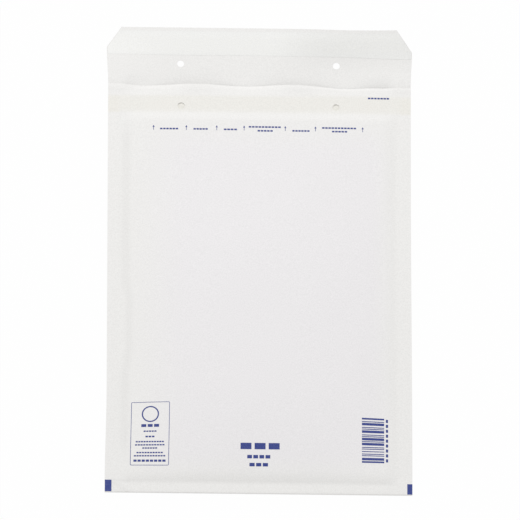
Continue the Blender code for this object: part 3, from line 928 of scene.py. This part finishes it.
def bubble_tree(material):
    """Builds the nodes that set rows of bubbles on both outer sides of the film bag."""
    tree = bpy.data.node_groups.new("bubble_rows", "GeometryNodeTree")
    sockets = tree.interface
    sockets.new_socket("Geometry", in_out="INPUT", socket_type="NodeSocketGeometry")
    for name in (
            "Bubble radius", "Bubble height", "Field width", "Field length", "Field middle", "Row shift"):
        sockets.new_socket(name, in_out="INPUT", socket_type="NodeSocketFloat")
    for name in ("Bubble sides", "Bubbles in a row", "Rows"):
        sockets.new_socket(name, in_out="INPUT", socket_type="NodeSocketInt")
    sockets.new_socket("Geometry", in_out="OUTPUT", socket_type="NodeSocketGeometry")
    given = add_node(tree, "NodeGroupInput").outputs
    place_of = add_node(tree, "GeometryNodeInputPosition").outputs[0]

    # Every second row is shifted by half a pitch, so that the bubbles lie as closely as they can
    lattice = add_node(tree, "GeometryNodeMeshGrid", {
        "Size X": given["Field width"], "Size Y": given["Field length"],
        "Vertices X": given["Bubbles in a row"], "Vertices Y": given["Rows"]})
    number = add_node(tree, "GeometryNodeInputIndex")
    row = add_node(tree, "ShaderNodeMath", {0: number.outputs[0], 1: given["Rows"]}, operation="MODULO")
    odd = add_node(tree, "ShaderNodeMath", {0: row.outputs[0], 1: 2.0}, operation="MODULO")
    side = add_node(tree, "ShaderNodeMath", {0: odd.outputs[0], 1: 0.5}, operation="SUBTRACT")
    shift = add_node(tree, "ShaderNodeMath", {0: side.outputs[0], 1: given["Row shift"]},
                     operation="MULTIPLY")
    move = add_node(tree, "ShaderNodeCombineXYZ", {"X": shift.outputs[0], "Y": given["Field middle"]})
    rows_set = add_node(tree, "GeometryNodeSetPosition", {
        "Geometry": lattice.outputs["Mesh"], "Offset": move.outputs[0]})

    # One bubble is a short drum whose wall leans in towards its flat top
    drum = add_node(tree, "GeometryNodeMeshCone", {
        "Vertices": given["Bubble sides"], "Side Segments": 3, "Radius Top": given["Bubble radius"],
        "Radius Bottom": given["Bubble radius"], "Depth": given["Bubble height"]})
    height = add_node(tree, "ShaderNodeSeparateXYZ", {0: place_of}).outputs["Z"]
    share = add_node(tree, "ShaderNodeMath", {0: height, 1: given["Bubble height"]}, operation="DIVIDE")
    bend = add_node(tree, "ShaderNodeMath", {0: share.outputs[0], 1: BUBBLE_BEND}, operation="POWER")
    lean = add_node(tree, "ShaderNodeMath", {0: bend.outputs[0], 1: -BUBBLE_LEAN, 2: 1.0},
                    operation="MULTIPLY_ADD")
    inward = add_node(tree, "ShaderNodeCombineXYZ", {"X": lean.outputs[0], "Y": lean.outputs[0], "Z": 1.0})
    leaned = add_node(tree, "ShaderNodeVectorMath", {0: place_of, 1: inward.outputs[0]},
                      operation="MULTIPLY")
    bubble = add_node(tree, "GeometryNodeSetPosition", {
        "Geometry": drum.outputs["Mesh"], "Position": leaned.outputs[0]})
    sunk = add_node(tree, "GeometryNodeTransform", {
        "Geometry": bubble.outputs[0], "Translation": (0.0, 0.0, -FILM / 2)})

    # The rows are cast onto the bag from below and from above, and each bubble stands square on the film
    joined = add_node(tree, "GeometryNodeJoinGeometry", {0: given["Geometry"]})
    for far, way in ((0.1, -1.0), (-0.1, 1.0)):
        flat = add_node(tree, "ShaderNodeVectorMath", {0: place_of, 1: (0.0, 0.0, far)}, operation="ADD")
        hit = add_node(tree, "GeometryNodeRaycast", {
            "Target Geometry": given["Geometry"], "Source Position": flat.outputs[0],
            "Ray Direction": (0.0, 0.0, way), "Ray Length": 1.0})
        landed = add_node(tree, "GeometryNodeSetPosition", {
            "Geometry": rows_set.outputs[0], "Position": hit.outputs["Hit Position"]})
        facing = add_node(tree, "FunctionNodeAlignRotationToVector", {
            "Vector": hit.outputs["Hit Normal"]}, axis="Z")
        spread = add_node(tree, "GeometryNodeInstanceOnPoints", {
            "Points": landed.outputs[0], "Instance": sunk.outputs[0], "Rotation": facing.outputs[0]})
        tree.links.new(spread.outputs[0], joined.inputs[0])
    realized = add_node(tree, "GeometryNodeRealizeInstances", {0: joined.outputs[0]})
    coated = add_node(tree, "GeometryNodeSetMaterial", {
        "Geometry": realized.outputs[0], "Material": material})
    add_node(tree, "NodeGroupOutput", {0: coated.outputs[0]})
    return tree


def add_nodes_modifier(piece, tree, values):
    """Puts a node tree on a piece and sets its inputs by their names' identifiers."""
    modifier = piece.modifiers.new(tree.name, "NODES")
    modifier.node_group = tree
    for item in tree.interface.items_tree:
        if item.in_out == "INPUT" and item.name in values:
            modifier[item.identifier] = values[item.name]


class ENVELOPE_OT_make_film(bpy.types.Operator):
    """Makes the lining: a folded bag of film with rows of round bubbles towards the paper"""

    bl_idname = "envelope.make_film"
    bl_label = "Bubble film"

    def execute(self, context):
        bubbles = context.scene.envelope_bubbles
        radius = FILM
        rows = stations(BODY_MARKS, FILM_CELL)
        columns = columns_across(HALF_WIDTH - LINING_INSET, FILM_CELL)
        sheet = flat_grid(columns, web_lines(rows, rows, radius, 3))
        for x, t in FRONT_HOLES:
            punch_hole(sheet, x, -(t + fold_lead(radius)))
        for vertex in sheet.verts:
            vertex.co = fold(*vertex.co.xy, lambda x, t: PAPER + film_depth(x, t) + FILM / 2, radius)
        bmesh.ops.recalc_face_normals(sheet, faces=sheet.faces[:])
        piece = add_object("bubble_film", sheet)
        add_wall(piece, FILM)
        material = film_material()
        row_pitch = bubbles.pitch * math.sqrt(3) / 2
        in_row = math.floor(2 * (HALF_WIDTH - SIDE_CREASE) / bubbles.pitch)
        count = math.floor((FIELD_END - BOTTOM_CREASE) / row_pitch)
        add_nodes_modifier(piece, bubble_tree(material), {
            "Bubble radius": bubbles.diameter / 2, "Bubble height": BUBBLE_HEIGHT - FILM / 2,
            "Bubble sides": bubbles.sides, "Bubbles in a row": in_row, "Rows": count,
            "Field width": (in_row - 1) * bubbles.pitch, "Field length": (count - 1) * row_pitch,
            "Field middle": (BOTTOM_CREASE + FIELD_END - TOTAL_LENGTH) / 2, "Row shift": bubbles.pitch / 2})
        make_plain(piece)
        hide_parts("bubble_lining")
        finish_piece(piece, material, sharp=60.0)
        return {"FINISHED"}


def thicken(sheet, lower, upper):
    """Closes a flat sheet into a solid between two heights, each a function of x and t."""
    grown = bmesh.ops.extrude_face_region(sheet, geom=sheet.faces[:])
    top = {item for item in grown["geom"] if isinstance(item, bmesh.types.BMVert)}
    for vertex in sheet.verts:
        height = upper if vertex in top else lower
        vertex.co = place(vertex.co.x, vertex.co.y, height(vertex.co.x, vertex.co.y))
    bmesh.ops.recalc_face_normals(sheet, faces=sheet.faces[:])


class ENVELOPE_OT_make_glue(bpy.types.Operator):
    """Makes the two glue bands that hold the film's ends to the paper"""

    bl_idname = "envelope.make_glue"
    bl_label = "Glue bands"

    def execute(self, context):
        material = glue_material("beige_hot_melt", 0.45)
        columns = columns_across(HALF_WIDTH - SIDE_CREASE, BOND_CELL)
        rows = stations([BOND_START + BOND_SIDE_GAP, LINING_END - BOND_SIDE_GAP], BOND_CELL)
        inner = PAPER + CLEARANCE
        outer = inner + BOND * BOND_FILL
        front = flat_grid(columns, rows)
        for x, t in FRONT_HOLES:
            punch_hole(front, x, t)
        thicken(front, lambda x, t: front_height(x, t) - outer, lambda x, t: front_height(x, t) - inner)
        back = flat_grid(columns, rows)
        thicken(back, lambda x, t: back_height(x, t) + inner, lambda x, t: back_height(x, t) + outer)
        for name, sheet in (("film_bond_front", front), ("film_bond_back", back)):
            piece = add_object("glue_band_" + name.rsplit("_", 1)[1], sheet)
            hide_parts(name)
            finish_piece(piece, material)
        return {"FINISHED"}


def flap_strip(setback, length, side_gap, lower, upper, trim=lambda x: 0.0):
    """Makes one strip across the flap between two heights above its paper, its lower edge trimmed."""
    end = TOTAL_LENGTH - setback
    cell = bpy.context.scene.envelope_shape.cell
    strip = flat_grid(columns_across(HALF_WIDTH - side_gap, cell), stations([end - length, end], cell))
    for vertex in strip.verts:
        vertex.co.y += trim(vertex.co.x) * (end - vertex.co.y) / length
    thicken(strip, lambda x, t: back_height(x, t) + PAPER + lower(x, t),
            lambda x, t: back_height(x, t) + PAPER + upper(x, t))
    cut_corners(strip, side_gap)
    bmesh.ops.holes_fill(strip, edges=[edge for edge in strip.edges if edge.is_boundary])
    bmesh.ops.recalc_face_normals(strip, faces=strip.faces[:])
    return strip


def liner_lift(x, t):
    """Is how far the release strip lies above the flap, over its adhesive and at its lower edge."""
    start = TOTAL_LENGTH - LINER_SETBACK - LINER_LENGTH
    across = LIFT_LEAST + (1 - LIFT_LEAST) * smooth(*LIFT_ACROSS, x)
    loose = bpy.context.scene.envelope_shape.liner_lift * across * (1 - smooth(start, start + LIFT_RUN, t))
    end = TOTAL_LENGTH - ADHESIVE_SETBACK
    covered = band(end - ADHESIVE_LENGTH, end, LINER_DRAPE, t)
    return STRIP_CLEARANCE + (STRIP_CLEARANCE + ADHESIVE) * covered + loose


class ENVELOPE_OT_make_closure(bpy.types.Operator):
    """Makes the adhesive stripe on the flap and the release strip that covers it"""

    bl_idname = "envelope.make_closure"
    bl_label = "Flap adhesive and release strip"

    def execute(self, context):
        stripe = flap_strip(ADHESIVE_SETBACK, ADHESIVE_LENGTH, ADHESIVE_SIDE_GAP,
                            lambda x, t: STRIP_CLEARANCE, lambda x, t: STRIP_CLEARANCE + ADHESIVE)
        adhesive = add_object("adhesive_stripe", stripe)
        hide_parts("flap_adhesive")
        finish_piece(adhesive, glue_material("clear_adhesive", 0.3))
        cover = flap_strip(LINER_SETBACK, LINER_LENGTH, LINER_SIDE_GAP,
                           liner_lift, lambda x, t: LINER + liner_lift(x, t),
                           lambda x: LINER_TRIM - LINER_TRIM_FALL * smooth(LINER_TRIM_FROM, HALF_WIDTH, x))
        liner = add_object("release_strip", cover)
        edge = TOTAL_LENGTH / 2 - ADHESIVE_SETBACK
        set_shares(liner, "glue", lambda point: ADHESIVE_SHOWS * band(
            edge - ADHESIVE_LENGTH, edge, ADHESIVE_SOFT, point.y))
        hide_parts("release_liner")
        finish_piece(liner, liner_material())
        return {"FINISHED"}


def rectangle(x, t, width, height):
    """Is the corners of one rectangle, by its middle and its size."""
    return [(x + a * width / 2, t + b * height / 2) for a, b in ((-1, -1), (1, -1), (1, 1), (-1, 1))]


def dash_row(x, t, width, height):
    """Is the outlines of a row of equal plain dashes."""
    count = max(1, round(width / (DASH_PITCH * height)))
    step = width / count
    return [rectangle(x + (number - (count - 1) / 2) * step, t, DASH_SHARE * step, height)
            for number in range(count)]


def print_shapes(name, outlines, material):
    """Prints closed flat outlines on the front as a thin layer of ink that follows the paper."""
    ink = bpy.context.scene.envelope_print.ink
    sheet = bmesh.new()
    for outline in outlines:
        sheet.faces.new([sheet.verts.new((x, t, 0.0)) for x, t in outline])
    cell = bpy.context.scene.envelope_shape.cell
    for axis in ((1.0, 0.0, 0.0), (0.0, 1.0, 0.0)):
        values = [vertex.co.dot(Vector(axis)) for vertex in sheet.verts]
        line = math.floor(min(values) / cell) * cell
        while line < max(values):
            whole = sheet.verts[:] + sheet.edges[:] + sheet.faces[:]
            bmesh.ops.bisect_plane(sheet, geom=whole, plane_co=Vector(axis) * line, plane_no=axis)
            line += cell
    thicken(sheet, lambda x, t: front_height(x, t) - ink, lambda x, t: front_height(x, t) + ink)
    finish_piece(add_object(name, sheet), material)


class ENVELOPE_OT_print_marks(bpy.types.Operator):
    """Prints the blue marks: the opening row, the label, the middle lines, the bars and the corners"""

    bl_idname = "envelope.print_marks"
    bl_label = "Blue print"

    def execute(self, context):
        layout = context.scene.envelope_print
        material = ink_material()
        print_shapes("opening_arrows", self.arrows(layout), material)
        dashes = [dash for row in DASH_ROWS for dash in dash_row(*row, layout.dash_height)]
        print_shapes("opening_dashes", dashes, material)
        print_shapes("framed_label", self.label(layout), material)
        lines = [dash for row in MIDDLE_LINES for dash in dash_row(*row)]
        print_shapes("middle_lines", lines, material)
        print_shapes("stacked_bars", self.bars(layout), material)
        print_shapes("corner_marks", [rectangle(*mark) for mark in CORNER_MARKS], material)
        return {"FINISHED"}

    def arrows(self, layout):
        h, w = layout.arrow_height, layout.arrow_width
        foot = ARROWS_T + h * HEAD_START
        found = []
        for x in ARROWS_X:
            middle = ARROWS_T + h * (HEAD_START - 0.5) / 2
            found.append(rectangle(x, middle, w * SHAFT_WIDTH, h * (HEAD_START + 0.5)))
            found.append([(x - w / 2, foot), (x + w / 2, foot), (x, ARROWS_T + h / 2)])
        return found

    def label(self, layout):
        x, t = LABEL_MIDDLE
        w, h, line = layout.label_width, layout.label_length, layout.label_line
        curve = LABEL_ROUNDING
        found = [rectangle(x, t + side * (h - line) / 2, w - 2 * curve, line) for side in (-1, 1)]
        found += [rectangle(x + side * (w - line) / 2, t, line, h - 2 * curve) for side in (-1, 1)]
        for a in (-1, 1):
            for b in (-1, 1):
                found.append([(x + a * (w / 2 - curve + reach * math.sin(turn)),
                               t + b * (h / 2 - curve + reach * math.cos(turn)))
                              for reach, turns in ((curve, (0, 1, 2, 3)), (curve - line, (3, 2, 1, 0)))
                              for turn in (step * math.pi / 6 for step in turns)])
        ring = [math.pi / 12 * step for step in range(25)]
        for turn, next_turn in zip(ring, ring[1:]):
            corners = ((LABEL_RING_OUTER, turn), (LABEL_RING_OUTER, next_turn),
                       (LABEL_RING_INNER, next_turn), (LABEL_RING_INNER, turn))
            found.append([(x + reach * math.sin(angle), t + LABEL_RING_UP + reach * math.cos(angle))
                          for reach, angle in corners])
        for up, width, height in LABEL_LINES:
            found += dash_row(x, t + up, width, height)
        return found

    def bars(self, layout):
        draw = random.Random(layout.seed)
        steps = [draw.choice(GAP_STEPS if number % 2 else BAR_STEPS)
                 for number in range(2 * layout.bar_count - 1)]
        unit = layout.bar_run / sum(steps)
        x, t = BARS_MIDDLE
        found = []
        at = t - layout.bar_run / 2
        for number, step in enumerate(steps):
            if number % 2 == 0:
                found.append(rectangle(x, at + step * unit / 2, layout.bar_width, step * unit))
            at += step * unit
        beside = x + layout.bar_width / 2 + BLOCK_OUT
        for number in range(BLOCK_COUNT):
            up = (number - (BLOCK_COUNT - 1) / 2) * BLOCK_PITCH
            found.append(rectangle(beside, t + up, *BLOCK_SIZE))
        return found


def seen_directly(tree):
    """Is 1 for rays that the camera sends, also through clear film, and 0 for light, as a socket."""
    rays = add_node(tree, "ShaderNodeLightPath").outputs
    return add_node(tree, "ShaderNodeMath", {0: rays["Is Camera Ray"], 1: rays["Is Transmission Ray"]},
                    operation="MAXIMUM").outputs[0]


class ENVELOPE_OT_make_stage(bpy.types.Operator):
    """Makes the pale floor, the soft lights and the camera"""

    bl_idname = "envelope.make_stage"
    bl_label = "Stage"

    def execute(self, context):
        scene = context.scene
        stage = scene.envelope_stage
        sheet = bmesh.new()
        below = Matrix.Translation((0.0, 0.0, -FLOOR_GAP))
        bmesh.ops.create_grid(sheet, x_segments=4, y_segments=4, size=FLOOR_REACH, matrix=below)
        floor = add_object("floor", sheet)
        floor.data.materials.append(floor_material())
        world = bpy.data.worlds.new("soft_box")
        world.use_nodes = True
        scene.world = world
        tree = world.node_tree
        tree.nodes.clear()
        even = add_node(tree, "ShaderNodeBackground", {"Strength": stage.sky})
        white = add_node(tree, "ShaderNodeBackground", {"Strength": BACKGROUND_WHITE})
        for background in (even, white):
            background.inputs["Color"].default_value = (1.0, 1.0, 1.0, 1.0)
        mixed = add_node(tree, "ShaderNodeMixShader", {
            0: seen_directly(tree), 1: even.outputs[0], 2: white.outputs[0]})
        add_node(tree, "ShaderNodeOutputWorld", {0: mixed.outputs[0]})
        lamp = bpy.data.lights.new("key_lamp", "AREA")
        lamp.shape = "DISK"
        lamp.size = KEY_SIZE
        lamp.energy = stage.key
        key = bpy.data.objects.new("key_lamp", lamp)
        key.location = KEY_PLACE
        key.rotation_mode = "QUATERNION"
        key.rotation_quaternion = key.location.to_track_quat("Z", "Y")
        scene.collection.objects.link(key)
        self.make_camera(scene, stage)
        scene.view_settings.view_transform = "Standard"
        return {"FINISHED"}

    def make_camera(self, scene, stage):
        a, e, r = stage.azimuth, stage.elevation, stage.roll
        back = Vector((math.sin(a) * math.cos(e), -math.cos(a) * math.cos(e), math.sin(e)))
        right = Vector((math.cos(a), math.sin(a), 0.0))
        up = back.cross(right)
        across = right * math.cos(r) + up * math.sin(r)
        upward = back.cross(across)
        camera = bpy.data.objects.new("camera", bpy.data.cameras.new("camera"))
        camera.data.lens = camera.data.sensor_width * stage.distance / stage.view_width
        camera.data.clip_end = 3 * stage.distance
        target = right * stage.shift_right + up * stage.shift_up
        turn = Matrix((across, upward, back)).transposed()
        camera.rotation_mode = "QUATERNION"
        camera.rotation_quaternion = turn.to_quaternion()
        camera.location = target + back * stage.distance
        scene.collection.objects.link(camera)
        scene.camera = camera


def floor_material():
    """Plain pale floor: the camera sees it as near white, and the envelope's soft shadow stays on it."""
    colours = bpy.context.scene.envelope_colours
    material, tree, shader = new_material("pale_floor", Roughness=0.9)
    shader.inputs["Base Color"].default_value = (*colours.floor, 1.0)
    share = add_node(tree, "ShaderNodeMath", {
        0: seen_directly(tree), 1: FLOOR_GLOW_SEEN, 2: FLOOR_GLOW}, operation="MULTIPLY_ADD")
    glow = add_node(tree, "ShaderNodeEmission", {"Strength": FLOOR_WHITE})
    mixed = add_node(tree, "ShaderNodeMixShader", {
        0: share.outputs[0], 1: shader.outputs[0], 2: glow.outputs[0]})
    tree.links.new(mixed.outputs[0], tree.nodes["Material Output"].inputs["Surface"])
    return material


class ENVELOPE_PT_panel(bpy.types.Panel):
    """Lists the envelope's settings and the steps that build it"""

    bl_label = "Padded Envelope"
    bl_space_type = "VIEW_3D"
    bl_region_type = "UI"
    bl_category = "Envelope"

    def draw(self, context):
        scene = context.scene
        for group in (scene.envelope_shape, scene.envelope_bubbles, scene.envelope_print,
                      scene.envelope_colours, scene.envelope_stage):
            box = self.layout.box()
            for name in group.__annotations__:
                box.prop(group, name)
        for operator in OPERATORS:
            self.layout.operator(operator.bl_idname)


GROUPS = {
    "envelope_shape": EnvelopeShape,
    "envelope_bubbles": BubbleShape,
    "envelope_print": PrintLayout,
    "envelope_colours": EnvelopeColours,
    "envelope_stage": StageSettings,
}
OPERATORS = (
    ENVELOPE_OT_make_paper,
    ENVELOPE_OT_make_film,
    ENVELOPE_OT_make_glue,
    ENVELOPE_OT_make_closure,
    ENVELOPE_OT_print_marks,
    ENVELOPE_OT_make_stage,
)


def register():
    for kind in (*GROUPS.values(), *OPERATORS, ENVELOPE_PT_panel):
        bpy.utils.register_class(kind)
    for name, group in GROUPS.items():
        setattr(bpy.types.Scene, name, PointerProperty(type=group))


def unregister():
    for name in GROUPS:
        delattr(bpy.types.Scene, name)
    for kind in (ENVELOPE_PT_panel, *reversed(OPERATORS), *reversed(GROUPS.values())):
        bpy.utils.unregister_class(kind)


def main():
    register()
    bpy.ops.envelope.make_paper()
    bpy.ops.envelope.make_film()
    bpy.ops.envelope.make_glue()
    bpy.ops.envelope.make_closure()
    bpy.ops.envelope.print_marks()
    bpy.ops.envelope.make_stage()


if __name__ == "__main__":
    main()
